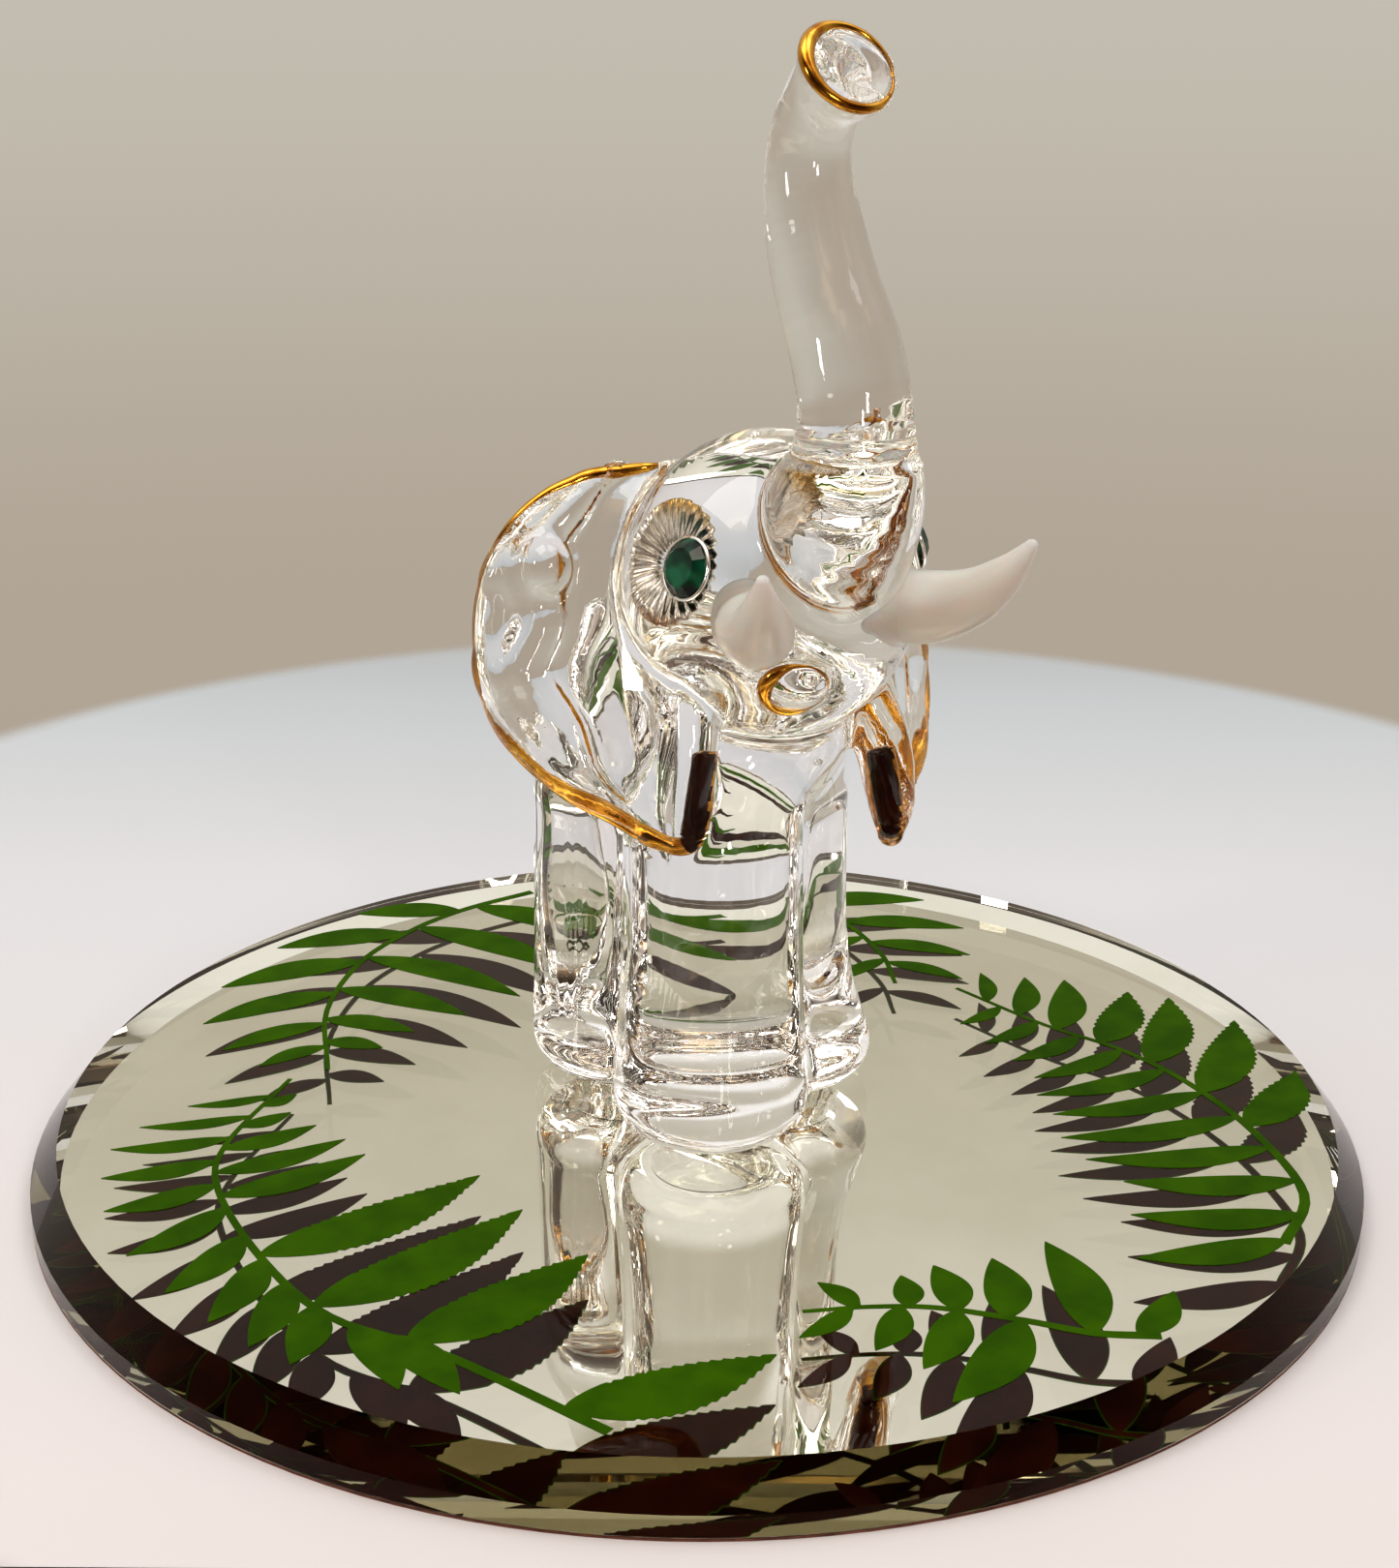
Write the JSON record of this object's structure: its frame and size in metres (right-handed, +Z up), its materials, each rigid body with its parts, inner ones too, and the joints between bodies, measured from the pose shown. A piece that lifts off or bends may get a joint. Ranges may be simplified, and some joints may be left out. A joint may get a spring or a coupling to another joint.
{
  "type": "glass figurine",
  "caption": "Clear glass elephant with raised trunk, opal tusks and gold rims, standing on a round bevelled mirror printed with green ferns.",
  "frame": {"origin": "centre of the mirror's flat underside, on the surface it stands on", "axes": "+Z up through the round mirror, the elephant faces -Y, its own left side is +X"},
  "size_m": [0.0762, 0.0762, 0.0634],
  "materials": {
    "clear_glass": "fire-polished clear lampworked glass",
    "mirror_glass": "clear float glass, polished face and bevel",
    "silvering": "silver mirror layer",
    "backing_paint": "copper-brown backing paint",
    "fern_print": "screen-printed green enamel, satin",
    "opal_glass": "translucent opal glass, white with a pink tint",
    "gold_trim": "burnished liquid gold, amber where seen through the glass",
    "eye_crystal": "faceted dark green crystal",
    "eye_foil": "pleated silver foil with gold tints",
    "clear_adhesive": "thin film of clear glue"
  },
  "bodies": {
    "root": {"backing_paint": "backing_paint", "fern_print_front": "fern_print", "fern_print_front_left": "fern_print", "fern_print_front_right": "fern_print", "fern_print_rear_left": "fern_print", "fern_print_rear_right": "fern_print", "foot_adhesive": "clear_adhesive", "front_left_leg": "clear_glass", "front_right_leg": "clear_glass", "head": "clear_glass", "left_ear": "clear_glass", "left_ear_gold": "gold_trim", "left_eye_foil": "eye_foil", "left_eye_stone": "eye_crystal", "left_tusk": "opal_glass", "lower_lip": "clear_glass", "mirror_glass": "mirror_glass", "mouth_gold": "gold_trim", "rear_left_leg": "clear_glass", "rear_right_leg": "clear_glass", "right_ear": "clear_glass", "right_ear_gold": "gold_trim", "right_eye_foil": "eye_foil", "right_eye_stone": "eye_crystal", "right_tusk": "opal_glass", "silver_layer": "silvering", "tail": "clear_glass", "tail_tip_gold": "gold_trim", "torso": "clear_glass", "trunk": "clear_glass", "trunk_root": "clear_glass", "trunk_tip_gold": "gold_trim"}
  },
  "joints": []
}
